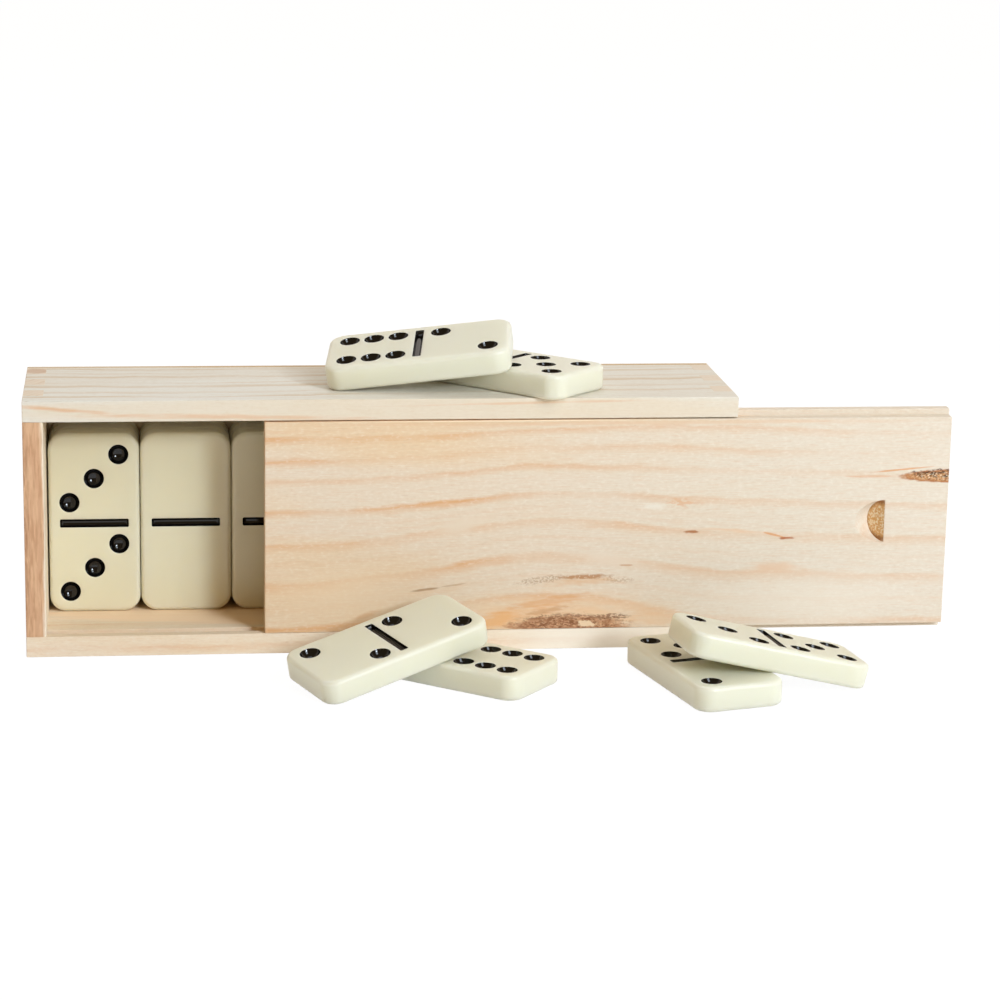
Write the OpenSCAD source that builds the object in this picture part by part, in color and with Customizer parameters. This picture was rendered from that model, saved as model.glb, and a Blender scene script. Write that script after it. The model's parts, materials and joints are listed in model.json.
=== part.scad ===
// Domino storage box: a comb-jointed pine box with a sliding lid, and its set of 28 tiles.
//
// The box stands on one long side. X runs along the box from the closed end to the open end,
// Y runs from the lid into the box, Z is up. The origin is the centre of the face it stands on.
// The lid is drawn partly open. Three pairs of tiles lie outside the box, one tile of each
// pair leaning on the other.

/* [Box] */
// Outer length of the box
box_l = 186; // [182:1:230]
// Outer width of the box, which is its height as it stands
box_w = 68; // [64:1:90]
// Depth of the four boards, from the lid's face to the bottom panel
frame_d = 43.5; // [42:0.5:60]
// Thickness of the two long side boards
side_t = 5.5; // [4.5:0.1:7]
// Thickness of the two end boards
end_t = 5.2; // [4:0.1:6]
// Thickness of the bottom panel, glued over the backs of the boards
panel_t = 2.5; // [1.5:0.1:5]
// Comb fingers on each edge of an end board
comb_n = 3; // [2:1:3]

/* [Lid] */
// Thickness of the lid
lid_t = 6; // [5.5:0.1:7]
// Thickness of the side boards' lips, in front of the lid's tongues
lip_t = 3; // [2.5:0.1:3.4]
// How far each tongue reaches past the edge of the lid's face
tongue_w = 1.7; // [1:0.1:2.2]
// Clearance in front of a tongue, behind it and past its tip
lid_slide_gap = 0.15; // [0.1:0.05:0.4]
// Gap between the lid's face and the lower lip, where its weight rests
lid_seat_gap = 0.1; // [0.05:0.05:0.3]
// Gap between the lid's face and the upper lip
lid_side_play = 0.35; // [0.1:0.05:0.6]
// How far the lid's pull end stands past the open end when the box is shut
lid_overhang = 1; // [0:0.1:5]
// How far the lid is drawn open
lid_open = 56.7; // [54.5:0.1:60]

/* [Thumb notch] */
// Diameter of the round cutter that made the notch
notch_d = 11.6; // [8:0.1:16]
// Slope of the notch's ramp
notch_slope = 44; // [40:0.5:60]
// Height of the notch's half-moon wall, along its slope
notch_wall = 5.6; // [4:0.1:7]
// Distance from the notch's straight edge to the lid's pull end
notch_reach = 17; // [12:0.1:30]

/* [Tiles] */
// Length of a tile
tile_l = 48.8; // [46:0.1:52]
// Width of a tile
tile_w = 24; // [20:0.1:24.2]
// Thickness of a tile
tile_t = 6.6; // [5.5:0.1:7.4]
// Radius of a tile's four corners, seen from above
corner_r = 4.4; // [2:0.1:5]
// Rounding of a tile's edges
edge_r = 0.9; // [0.3:0.1:1.2]
// Diameter of a pip at the face
pip_d = 5.3; // [4.6:0.1:5.8]
// Depth of a pip's dimple
pip_depth = 1.9; // [0.6:0.1:2.2]
// Distance between two pips in a row
pip_pitch = 6.5; // [6.1:0.1:6.7]
// Length of the bar between the halves
bar_l = 18.1; // [14:0.1:20]
// Width of the bar
bar_w = 2.2; // [1.2:0.1:2.6]
// Depth of the bar's groove
bar_depth = 1.2; // [0.3:0.1:1.6]

/* [Stacks in the box] */
// Columns of tiles in a full box
full_columns = 7; // [5:1:7]
// Gap between the closed end board and the first column of tiles
stack_inset = 0.45; // [0.2:0.05:1]
// Gap between two columns
column_gap = 0.2; // [0.1:0.05:0.5]
// Gap behind each layer
layer_gap = 0.1; // [0.05:0.05:0.3]
// Gap between a tile and what it stands, lies or leans on
rest_gap = 0.05; // [0.02:0.01:0.2]

/* [Loose pair on the box] */
// Place of the lower tile's centre along the box, from its middle
top_x = 34.5; // [25:0.5:45]
// Place of the lower tile's centre across the box, from its middle
top_y = -2.8; // [-4:0.1:4]
// Turn of the lower tile
top_turn = -43.5; // [-55:0.5:-35]
// Place of the leaning tile along the edge that it leans on
top_lean_along = -15.5; // [-18:0.5:-8]
// Distance of the leaning tile's centre beyond that edge
top_lean_beyond = 6.6; // [3:0.1:9]
// Turn of the leaning tile against that edge
top_lean_turn = -34.3; // [-45:0.1:-25]

/* [Loose pair in front, middle] */
// Place of the lower tile's centre along the box, from its middle
mid_x = 17.5; // [10:0.5:25]
// Distance of the lower tile's nearest corner from the lid's face
mid_out = 0.445; // [0.3:0.005:15]
// Turn of the lower tile
mid_turn = -38.8; // [-42:0.1:-20]
// Place of the leaning tile along the edge that it leans on
mid_lean_along = -11.7; // [-15:0.1:-5]
// Distance of the leaning tile's centre beyond that edge
mid_lean_beyond = 3.2; // [1:0.1:6]
// Turn of the leaning tile against that edge
mid_lean_turn = -64.7; // [-75:0.1:-55]

/* [Loose pair in front, right] */
// Place of the lower tile's centre along the box, from its middle
right_x = 79.5; // [70:0.5:90]
// Distance of the lower tile's nearest corner from the lid's face
right_out = 7.334; // [5:0.001:20]
// Turn of the lower tile
right_turn = -75.5; // [-85:0.5:-65]
// Place of the leaning tile along the edge that it leans on
right_lean_along = 6.4; // [2:0.1:10]
// Distance of the leaning tile's centre beyond that edge
right_lean_beyond = 3.1; // [1:0.1:6]
// Turn of the leaning tile against that edge
right_lean_turn = 82.3; // [75:0.1:90]

/* [Hidden] */
$fn = 64;
// Overshoot of a cut past the face that it opens
cut = 1;

box_d = frame_d + panel_t;
front_y = -box_d / 2;
closed_x = -box_l / 2;
finger_w = frame_d / (2 * comb_n);

// The lid between its two lips, and its place when drawn open
lid_l = box_l - end_t + lid_overhang;
lid_x = closed_x + end_t + lid_open;
lid_low = side_t + lid_seat_gap;
lid_high = box_w - side_t - lid_side_play;
tongue_y = lip_t + lid_slide_gap;
groove_depth = tongue_w + lid_slide_gap - min(0, lid_seat_gap - lid_side_play);
groove_end_y = lid_t + lid_slide_gap;

// A pip is a cap of this sphere, whose centre is this far above the face
pip_ball_r = (pow(pip_d / 2, 2) + pow(pip_depth, 2)) / (2 * pip_depth);
pip_ball_up = pip_ball_r - pip_depth;

// Pips of each number as [along, across] steps from the middle of the half
PIPS = [
    [],
    [[0, 0]],
    [[-1, 1], [1, -1]],
    [[-1, 1], [0, 0], [1, -1]],
    [[-1, -1], [-1, 1], [1, -1], [1, 1]],
    [[-1, -1], [-1, 1], [0, 0], [1, -1], [1, 1]],
    [[-1, -1], [0, -1], [1, -1], [-1, 1], [0, 1], [1, 1]],
];

// Tiles in the box, column after column from the closed end, deepest tile first
BOX_TILES = [
    [0, 2], [0, 4], [3, 3],
    [0, 3], [0, 5], [0, 0],
    [0, 6], [1, 2], [0, 1],
    [1, 3], [1, 4], [1, 1],
    [1, 6], [2, 3], [2, 4],
    [3, 4], [3, 6], [4, 4],
    [4, 5], [5, 5], [5, 6], [6, 6],
];

// Loose pairs: [lower tile, leaning tile]
TOP_PAIR = [[1, 5], [6, 2]];
MIDDLE_PAIR = [[4, 6], [2, 2]];
RIGHT_PAIR = [[5, 2], [3, 5]];

function tile_name(t) = str("tile_", min(t), "_", max(t));

// ---- Box ----

// Puts its children where the end boards' fingers are along an edge
module at_fingers() {
    for (i = [0 : comb_n - 1])
        translate([0, front_y + (2 * i + 1) * finger_w, 0])
            children();
}

// A long board lying on its outer face, with the comb's sockets and the lid's groove
module side_board() {
    color("wheat")
    difference() {
        translate([closed_x, front_y, 0])
            cube([box_l, frame_d, side_t]);
        at_fingers() {
            translate([closed_x - cut, 0, -cut])
                cube([end_t + cut, finger_w, side_t + 2 * cut]);
            translate([-closed_x - end_t, 0, -cut])
                cube([end_t + cut, finger_w, side_t + 2 * cut]);
        }
        translate([closed_x - cut, front_y + lip_t, side_t - groove_depth])
            cube([box_l + 2 * cut, groove_end_y - lip_t, groove_depth + cut]);
    }
}

module lower_side_board() {
    side_board();
}

module upper_side_board() {
    translate([0, 0, box_w])
        mirror([0, 0, 1])
            side_board();
}

// An end board between the side boards, its comb through both of them
module end_board(top_y) {
    color("burlywood") {
        translate([0, front_y + top_y, side_t])
            cube([end_t, frame_d - top_y, box_w - 2 * side_t]);
        at_fingers()
            cube([end_t, finger_w, box_w]);
    }
}

module closed_end_board() {
    translate([closed_x, 0, 0])
        end_board(0);
}

// The open end is lower by the lid, which slides out over it
module open_end_board() {
    translate([-closed_x - end_t, 0, 0])
        end_board(groove_end_y);
}

module bottom_panel() {
    color("tan")
    translate([closed_x, front_y + frame_d, 0])
        cube([box_l, panel_t, box_w]);
}

// Section of the lid, seen along the box: the face, and a tongue on each edge behind it
module lid_section() {
    translate([0, lid_low])
        square([lid_t, lid_high - lid_low]);
    translate([tongue_y, lid_low - tongue_w])
        square([lid_t - tongue_y, lid_high - lid_low + 2 * tongue_w]);
}

// Round cutter sunk at a slope, its flat end leaving the half-moon wall
module notch_cutter() {
    rotate([0, 0, notch_slope])
        translate([0, notch_wall - notch_d / 2, 0])
            rotate([0, -90, 0])
                cylinder(d = notch_d, h = 2 * notch_d);
}

module sliding_lid() {
    color("wheat")
    translate([lid_x, front_y, 0])
    difference() {
        rotate([90, 0, 90])
            linear_extrude(lid_l)
                lid_section();
        translate([lid_l - notch_reach, 0, (lid_low + lid_high) / 2])
            notch_cutter();
    }
}

// ---- Tiles ----

// Half section of a tile's rim, as wide as the corner radius
module rim_section() {
    square([corner_r - edge_r, tile_t]);
    translate([0, edge_r])
        square([corner_r, tile_t - 2 * edge_r]);
    for (y = [edge_r, tile_t - edge_r])
        translate([corner_r - edge_r, y])
            circle(edge_r);
}

// A straight stretch of rim along X, its outer face towards +Y
module rim_bar(length) {
    translate([-length / 2, 0, 0])
        rotate([90, 0, 90])
            linear_extrude(length)
                rim_section();
}

module tile_blank() {
    core_l = tile_l - 2 * corner_r;
    core_w = tile_w - 2 * corner_r;
    translate([-core_l / 2, -core_w / 2, 0])
        cube([core_l, core_w, tile_t]);
    for (side = [0, 180]) rotate([0, 0, side]) {
        translate([0, core_w / 2, 0])
            rim_bar(core_l);
        rotate([0, 0, 90])
            translate([0, core_l / 2, 0])
                rim_bar(core_w);
        translate([core_l / 2, core_w / 2, 0])
            rotate_extrude(angle = 90)
                rim_section();
        translate([-core_l / 2, core_w / 2, 0])
            rotate([0, 0, 90])
                rotate_extrude(angle = 90)
                    rim_section();
    }
}

module pips(number, half_x) {
    for (p = PIPS[number])
        translate([half_x + p[0] * pip_pitch, p[1] * pip_pitch, tile_t + pip_ball_up])
            sphere(pip_ball_r);
}

// A tile on its back, its first number towards -X
module tile(t) {
    color("ivory")
    difference() {
        tile_blank();
        pips(t[0], -tile_l / 4);
        pips(t[1], tile_l / 4);
        translate([-bar_w / 2, -bar_l / 2, tile_t - bar_depth])
            cube([bar_w, bar_l, bar_depth + cut]);
    }
}

// The columns that fit in the box share its tiles evenly, from the first tile to the last.
// Each of the last columns is one tile higher than the others where some are left over.
column_pitch = tile_w + column_gap;
columns = min(full_columns, floor((box_l - 2 * end_t - stack_inset + column_gap) / column_pitch));
low_stack = floor(len(BOX_TILES) / columns);
high_columns = len(BOX_TILES) - low_stack * columns;
tiles_in_low = low_stack * (columns - high_columns);

// Column and layer of a tile, from its place in BOX_TILES
function stack_place(index) =
    let (
        low = index < tiles_in_low,
        height = low ? low_stack : low_stack + 1,
        from_here = low ? index : index - tiles_in_low,
        first_column = low ? 0 : columns - high_columns
    )
    [first_column + floor(from_here / height), from_here % height];

// A tile standing in the box with its face to the lid
module stacked_tile(t, index) {
    place = stack_place(index);
    x = closed_x + end_t + stack_inset + place[0] * column_pitch + tile_w / 2;
    y = front_y + frame_d - layer_gap - place[1] * (tile_t + layer_gap);
    translate([x, y, side_t + rest_gap + tile_l / 2])
        rotate([90, 0, 0])
            rotate([0, 0, 90])
                tile(t);
}

// Distance from a turned tile's centre to its furthest corner, square to the line that it
// is turned against
function half_span(turn) =
    (tile_l / 2 - corner_r) * abs(sin(turn)) + (tile_w / 2 - corner_r) * abs(cos(turn)) + corner_r;

// Tilt at which a tile that leans on another's edge touches the surface below.
// reach is the distance from that edge to the tile's lowest edge, along the slope.
function lean_tilt(reach) =
    let (across = reach - edge_r, over = 2 * edge_r + rest_gap)
    atan2(over, across)
        + asin((tile_t - 2 * edge_r) / norm([across, over]));

// A tile leaning on the long edge of a lower tile whose centre is the origin.
// side is 1 or -1 for the lower tile's left or right edge.
module leaning_tile(t, side, along, beyond, turn) {
    reach = beyond + half_span(turn);
    translate([0, side * (tile_w / 2 - edge_r), tile_t + rest_gap - edge_r])
        rotate([-side * lean_tilt(reach), 0, 0])
            translate([along, side * beyond, edge_r + rest_gap])
                rotate([0, 0, side * turn])
                    tile(t);
}

// Stands its children where a loose pair lies
module on_box() {
    translate([top_x, top_y, box_w]) rotate([0, 0, top_turn]) children();
}

module in_front_middle() {
    translate([mid_x, front_y - mid_out - half_span(mid_turn), 0])
        rotate([0, 0, mid_turn])
            children();
}

module in_front_right() {
    translate([right_x, front_y - right_out - half_span(right_turn), 0])
        rotate([0, 0, right_turn])
            children();
}

module lower_tile(t) {
    translate([0, 0, rest_gap])
        tile(t);
}

lower_side_board();
upper_side_board();
closed_end_board();
open_end_board();
bottom_panel();
sliding_lid();

for (i = [0 : len(BOX_TILES) - 1])
    stacked_tile(BOX_TILES[i], i);

on_box() lower_tile(TOP_PAIR[0]);
on_box() leaning_tile(TOP_PAIR[1], -1, top_lean_along, top_lean_beyond, top_lean_turn);
in_front_middle() lower_tile(MIDDLE_PAIR[0]);
in_front_middle() leaning_tile(MIDDLE_PAIR[1], -1, mid_lean_along, mid_lean_beyond, mid_lean_turn);
in_front_right() lower_tile(RIGHT_PAIR[0]);
in_front_right() leaning_tile(RIGHT_PAIR[1], 1, right_lean_along, right_lean_beyond, right_lean_turn);
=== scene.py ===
"""Domino storage box of raw pine with a half-drawn sliding lid, and its 28 ivory tiles.

The row frame is in metres: X runs along the box from its closed end to its open end, Y from the
lid into the box, Z up. The box stands on one long side with its lid towards -Y. Sizes in this
script are in millimetres, times MM where Blender needs metres.
"""

import json
import math

import bmesh
import bpy
from mathutils import Matrix, Vector
from mathutils.bvhtree import BVHTree


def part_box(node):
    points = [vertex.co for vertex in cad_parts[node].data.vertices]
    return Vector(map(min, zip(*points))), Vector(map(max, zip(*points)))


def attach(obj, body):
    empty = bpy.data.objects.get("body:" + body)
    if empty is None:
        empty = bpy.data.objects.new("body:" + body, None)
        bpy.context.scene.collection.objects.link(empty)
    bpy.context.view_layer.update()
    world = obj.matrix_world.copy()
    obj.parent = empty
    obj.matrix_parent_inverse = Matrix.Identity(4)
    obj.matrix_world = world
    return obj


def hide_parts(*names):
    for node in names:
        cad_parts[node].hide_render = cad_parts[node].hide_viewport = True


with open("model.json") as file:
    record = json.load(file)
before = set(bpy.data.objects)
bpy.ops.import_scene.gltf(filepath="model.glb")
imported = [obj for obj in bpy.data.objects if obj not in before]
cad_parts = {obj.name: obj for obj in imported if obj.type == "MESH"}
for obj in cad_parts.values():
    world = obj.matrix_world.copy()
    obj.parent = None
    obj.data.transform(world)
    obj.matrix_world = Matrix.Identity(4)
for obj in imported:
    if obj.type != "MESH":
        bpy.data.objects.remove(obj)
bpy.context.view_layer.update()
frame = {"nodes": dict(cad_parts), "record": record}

MM = 0.001

# The lid's face, the box's closed end and its top
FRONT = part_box("sliding_lid")[0].y / MM
CLOSED_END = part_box("closed_end_board")[0].x / MM
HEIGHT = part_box("upper_side_board")[1].z / MM

# ---- Camera and studio ----

CAMERA_PLACE = (-63.84, -783.12, 226.75)
CAMERA_TURN = (76.3536, -1.0203, -6.8161)
SENSOR = 36
LENS = 108.33

# Daylight softboxes, with their power in watts: a small bright one low at the right of the
# camera, a tall one above it, and a large one above and behind the box
DAYLIGHT = "#E5F2FF"
KEY_LAMP = dict(place=(601, -1038, 496), size=170, power=6.0)
SOFT_LAMP = dict(place=(646, -924, 833), size=440, tall=900, power=8.8)
TOP_LAMP = dict(place=(-100, 350, 1150), size=700, power=3.6)
# Room light: warm all round, and neutral from the tall backdrop behind, as (colour, level)
ROOM_WALLS = ("#FFD699", 0.29)
BACKDROP = ("#F7F9FF", 0.70)
# The backdrop comes in towards the back, by the Y of the direction, and fades out at its top,
# by the sine of the elevation
BACKDROP_SIDE = (0.0, 0.4)
BACKDROP_TOP = (0.85, 0.60)
# Wide enough to fill the view behind the box from ten degrees above it and higher
FLOOR_SIDE = 60000
# The floor lies this far below the box, so that the two don't fight for one plane
FLOOR_DROP = 0.05
FLOOR_PAPER = "#F4F4F4"
# Share of the floor's own shading that shows in the picture; the rest is plain white
FLOOR_SHADOW = 0.10
FLOOR_WHITE = 1.07

# ---- Sanding of the boards ----

FREE_ARRIS = 0.22
ARRIS_STEPS = 3
# A glued joint keeps this share of the arris, as a hairline, and the lid's edges are crisper
JOINT_SHARE = 0.25
LID_SHARE = 0.8
# Two boards that lie closer than this are glued together
GLUED = 0.05
GLUED_BOARDS = (
    "lower_side_board",
    "upper_side_board",
    "closed_end_board",
    "open_end_board",
    "bottom_panel",
)
# Edges sharper than this are sanded; corners this close are one, and faces this even are flat
SHARP = math.radians(40)
ONE_CORNER = 0.001
FLAT = math.radians(0.5)

# ---- Tiles ----

CORNER = 4.4
ROUNDING = 1.15
CORNER_STEPS = 14
ROUNDING_STEPS = 7
PIP_D = 5.3
PIP_PITCH = 6.5
PIP_STEPS = 44
# A pip is a cap of a ball, as deep as the drill went
PIP_DEPTH = 1.9
DISH_STEPS = 14
# The pip's cutter ends this much wider and higher than the rim it cuts
CUTTER_FLARE = (0.02, 0.3)
# Width, length and depth of the bar's groove, and the least radius of its ends
BAR = (2.2, 18.1, 1.2)
BAR_CORNER = 0.35
BAR_LEAST_CORNER = 0.04
# The groove has a round bottom: (share of its width, height as a share of its depth)
BAR_BOTTOM = [
    (0.08, -1.0),
    (0.35, -0.95),
    (0.62, -0.82),
    (0.82, -0.62),
    (0.95, -0.34),
    (1.0, 0.0),
    (1.0, 0.4),
]
RIM_SOFTENING = 0.09
RIM_SHARP = math.radians(30)
RIM_STEPS = 2
# A face of the solid tile is in a dish where it lies inside the edges by the first figure and
# below the surface by the second
IN_DISH = (1.5, 0.02)
# Two directions are square to each other when the cosine between them is below this
SQUARE = 0.02
# The tiles in the box get a yellower copy of the ivory, painted warm shade for the inside of the
# box; the loose tiles, out in the light, keep a paler, cooler copy
LOOSE_TILES = ("tile_1_5", "tile_2_6", "tile_4_6", "tile_2_2", "tile_2_5", "tile_3_5")
# Places of the pips on half a tile, in pitches along and across it
PIPS = [
    [],
    [(0, 0)],
    [(-1, 1), (1, -1)],
    [(-1, 1), (0, 0), (1, -1)],
    [(-1, -1), (-1, 1), (1, -1), (1, 1)],
    [(-1, -1), (-1, 1), (0, 0), (1, -1), (1, 1)],
    [(-1, -1), (0, -1), (1, -1), (-1, 1), (0, 1), (1, 1)],
]


def colour_of(text):
    """The linear RGBA of an sRGB hex colour."""
    parts = [int(text[i : i + 2], 16) / 255 for i in (1, 3, 5)]
    return [c / 12.92 if c <= 0.04045 else ((c + 0.055) / 1.055) ** 2.4 for c in parts] + [1]


def add(tree, kind, inputs=None, out=0, stops=None, **settings):
    """Adds a node with its settings, values and links, and returns one of its outputs."""
    node = tree.nodes.new("ShaderNode" + kind)
    for name, value in settings.items():
        setattr(node, name, value)
    for key, value in (inputs or {}).items():
        if isinstance(value, bpy.types.NodeSocket):
            tree.links.new(value, node.inputs[key])
        else:
            node.inputs[key].default_value = value
    if stops:
        ramp = node.color_ramp
        while len(ramp.elements) < len(stops):
            ramp.elements.new(0.5)
        for element, (at, colour) in zip(ramp.elements, stops):
            element.position = at
            element.color = colour
    return node.outputs[out] if node.outputs else node


# ---- What the finishes share ----

# A seed shifts its noise by these steps along X, Y and Z
SEED_STEP = (1.0, 1.7, 0.6)


def new_material(name):
    material = bpy.data.materials.new(name)
    material.use_nodes = True
    material.node_tree.nodes.clear()
    return material, material.node_tree


def finish_material(tree, **sockets):
    """One Principled shader with these sockets, led to the output."""
    inputs = {name.replace("_", " "): value for name, value in sockets.items()}
    shader = add(tree, "BsdfPrincipled", inputs)
    add(tree, "OutputMaterial", {"Surface": shader})


def millimetres(tree):
    """Place on the piece in millimetres."""
    place = add(tree, "TexCoord", out=3)
    return add(tree, "VectorMath", {0: place, "Scale": 1 / MM}, operation="SCALE")


def streaks(tree, place, size, detail=2.0, seed=0.0):
    """Noise about 0.5 whose blotches are size = (x, y, z) mm large."""
    stretched = add(
        tree,
        "VectorMath",
        {0: place, 1: [1 / s for s in size], 2: [seed * step for step in SEED_STEP]},
        operation="MULTIPLY_ADD",
    )
    return add(tree, "TexNoise", {"Vector": stretched, "Scale": 1.0, "Detail": detail})


def tinted(tree, colour, tint, pattern, low, high, share=1.0):
    """A colour with another over it, from none where the pattern is low to share where it is
    high."""
    strength = add(
        tree,
        "MapRange",
        {"Value": pattern, "From Min": low, "From Max": high, "To Max": share},
        interpolation_type="SMOOTHSTEP",
    )
    return add(tree, "Mix", {0: strength, 6: colour, 7: tint}, out=2, data_type="RGBA")


# ---- Pine ----

# Each figure of the grain: its length along the fibres and its width across them
WANDER_SIZE = (150, 45)
RIPPLE_SIZE = (18, 7)
FEATHER_SIZE = (5, 0.7)
PATCH_SIZE = (45, 7)
TINT_SIZE = (90, 22)
# Fibres are 0.03 mm wide, and are drawn 0.3 mm wide so that they show
FIBRE_SIZE = (5, 0.32)
FUZZ_SIZE = (1.3, 0.6)
CANAL_SIZE = (2.6, 0.3)
# Pores in end grain are 0.03 mm wide too, and are drawn as coarse as the fibres
PORE_SIZE = (0.35, 0.35)
# Thin rings to a millimetre of the log, between the marked ones
THIN_RINGS = 0.62
# How much of the latewood sapwood takes away
SAPWOOD_FADE = 0.7
# Relief of the sanded face in mm, and the shares by which fibres stand up in it and latewood sinks
GRAIN_RELIEF = 0.06
FIBRE_RISE = 0.55
LATEWOOD_SINK = 0.25
# A face cuts across the fibres as its normal turns along the grain between the first two figures,
# and so does the thumb notch's wall, which faces the closed end, between the second two
SAWN_END = (0.85, 0.95)
NOTCH_WALL = (-0.55, -0.68)
# A speckle fades in between these steps from its level
SPECKLE_EDGE = (-0.05, 0.12)
# What a mark is where its own entry doesn't say
PLAIN_MARK = dict(tilt=0, rag=0.5, soft=0.35, speckle=None, on_ends=False)


def grain_size(board, along, across):
    """Size of a blotch that is long along the board's grain."""
    size = [across] * 3
    size[board["grain"]] = along
    return size


def ring_level(tree, place, board):
    """Distance from the log's pith in mm, with the wander and swells of the real grain. Gives
    the place along and across the board too."""
    xyz = [add(tree, "SeparateXYZ", {0: place}, out=i) for i in range(3)]
    along = xyz[board["grain"]]
    wide = xyz[board["wide"]]
    deep = xyz[3 - board["grain"] - board["wide"]]
    # Slow wander of the grain, its ripples, and the fibres that feather each ring's edge
    offset = 0.0
    for size, detail, depth in (
        (WANDER_SIZE, 2.0, board["wander"]),
        (RIPPLE_SIZE, 2.0, board["ripple"]),
        (FEATHER_SIZE, 3.0, board["feather"]),
    ):
        wave = streaks(tree, place, grain_size(board, *size), detail, seed=board["seed"] + depth)
        wave = add(tree, "Math", {0: wave, 1: 0.5}, operation="SUBTRACT")
        offset = add(tree, "Math", {0: wave, 1: depth, 2: offset}, operation="MULTIPLY_ADD")
    for at, reach, low, high in board["swells"]:
        # The grain bulges by low mm at the board's lower edge and by high mm at its upper one
        away = add(tree, "Math", {0: along, 1: at}, operation="SUBTRACT")
        away = add(tree, "Math", {0: away, 1: reach}, operation="DIVIDE")
        away = add(tree, "Math", {0: away, 1: away}, operation="MULTIPLY")
        away = add(tree, "Math", {0: away, 1: -1.0}, operation="MULTIPLY")
        bell = add(tree, "Math", {0: away}, operation="EXPONENT")
        bulge = add(
            tree,
            "MapRange",
            {"Value": wide, "From Min": 0.0, "From Max": HEIGHT, "To Min": -low, "To Max": -high},
        )
        offset = add(tree, "Math", {0: bell, 1: bulge, 2: offset}, operation="MULTIPLY_ADD")
    bent = add(tree, "Math", {0: wide, 1: offset}, operation="ADD")
    flat = add(tree, "CombineXYZ", {0: bent, 1: deep})
    level = add(tree, "VectorMath", {0: flat, 1: (*board["pith"], 0)}, out=1, operation="DISTANCE")
    return level, along, wide


def ring_stops(board):
    """Ramp stops for the dark latewood bands: each rises slowly and ends sharply."""
    pith_wide, pith_deep = board["pith"]

    def level(wide):
        return math.hypot(wide - pith_wide, board["face"] - pith_deep)

    low, high = (level(edge) for edge in board["span"])
    stops = []
    for at, rise, fall, strength in board["bands"]:
        for wide, value in ((at - rise, 0), (at, strength), (at + fall, 0)):
            stops.append(((level(wide) - low) / (high - low), (value, value, value, 1)))
    return low, high, stops


def latewood_share(tree, place, board, level):
    """How much of each place is dark latewood: the marked bands, with thin rings between them,
    both weaker in long patches."""
    low, high, stops = ring_stops(board)
    at_ring = add(tree, "MapRange", {"Value": level, "From Min": low, "From Max": high})
    bands = add(tree, "ValToRGB", {0: at_ring}, stops=stops)
    thin = add(
        tree,
        "TexNoise",
        {"W": level, "Scale": THIN_RINGS, "Detail": 1.0},
        noise_dimensions="1D",
    )
    thin = add(
        tree,
        "MapRange",
        {"Value": thin, "From Min": 0.5, "From Max": 0.72, "To Max": board["thin"]},
        interpolation_type="SMOOTHSTEP",
    )
    rings = add(tree, "Math", {0: bands, 1: thin}, operation="MAXIMUM")
    size = grain_size(board, *PATCH_SIZE)
    patch = streaks(tree, place, size, detail=3.0, seed=board["seed"] + 7)
    patch = add(
        tree,
        "MapRange",
        {"Value": patch, "From Min": 0.36, "From Max": 0.60, "To Min": 0.28, "To Max": 1.0},
    )
    return add(tree, "Math", {0: rings, 1: patch}, operation="MULTIPLY")


def fibre_ends(tree, board):
    """1 where a cut crosses the fibres: at the board's sawn ends and on the notch's wall."""
    facing = add(tree, "SeparateXYZ", {0: add(tree, "TexCoord", out=1)}, out=board["grain"])
    square = add(tree, "Math", {0: facing}, operation="ABSOLUTE")
    square = add(
        tree,
        "MapRange",
        {"Value": square, "From Min": SAWN_END[0], "From Max": SAWN_END[1]},
        interpolation_type="SMOOTHSTEP",
    )
    slanted = add(
        tree,
        "MapRange",
        {"Value": facing, "From Min": NOTCH_WALL[0], "From Max": NOTCH_WALL[1]},
        interpolation_type="SMOOTHSTEP",
    )
    return add(tree, "Math", {0: square, 1: slanted}, operation="MAXIMUM")


def marked(tree, colour, place, mark, ends):
    """A colour with a knot, pocket, stain or fleck over it: an ellipsoid with a ragged edge,
    which may be broken into speckles, or show on end grain alone."""
    mark = PLAIN_MARK | mark
    local = add(
        tree,
        "Mapping",
        {
            "Vector": place,
            "Location": mark["at"],
            "Rotation": (0, math.radians(mark["tilt"]), 0),
            "Scale": mark["half"],
        },
        vector_type="TEXTURE",
    )
    away = add(tree, "VectorMath", {0: local}, out=1, operation="LENGTH")
    grit = streaks(tree, place, mark["grit"], detail=4.0)
    ragged = add(tree, "Math", {0: grit, 1: mark["rag"], 2: away}, operation="MULTIPLY_ADD")
    share = mark["strength"]
    if mark["on_ends"]:
        share = add(tree, "Math", {0: ends, 1: share}, operation="MULTIPLY")
    if mark["speckle"]:
        specks = streaks(tree, place, [g / 2 for g in mark["grit"]], detail=3.0, seed=5.0)
        low, high = (mark["speckle"] + step for step in SPECKLE_EDGE)
        share = add(
            tree,
            "MapRange",
            {"Value": specks, "From Min": low, "From Max": high, "To Max": share},
            interpolation_type="SMOOTHSTEP",
        )
    rim = 1 + mark["rag"] / 2
    full = rim - mark["soft"]
    return tinted(tree, colour, colour_of(mark["colour"]), ragged, low=rim, high=full, share=share)


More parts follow.
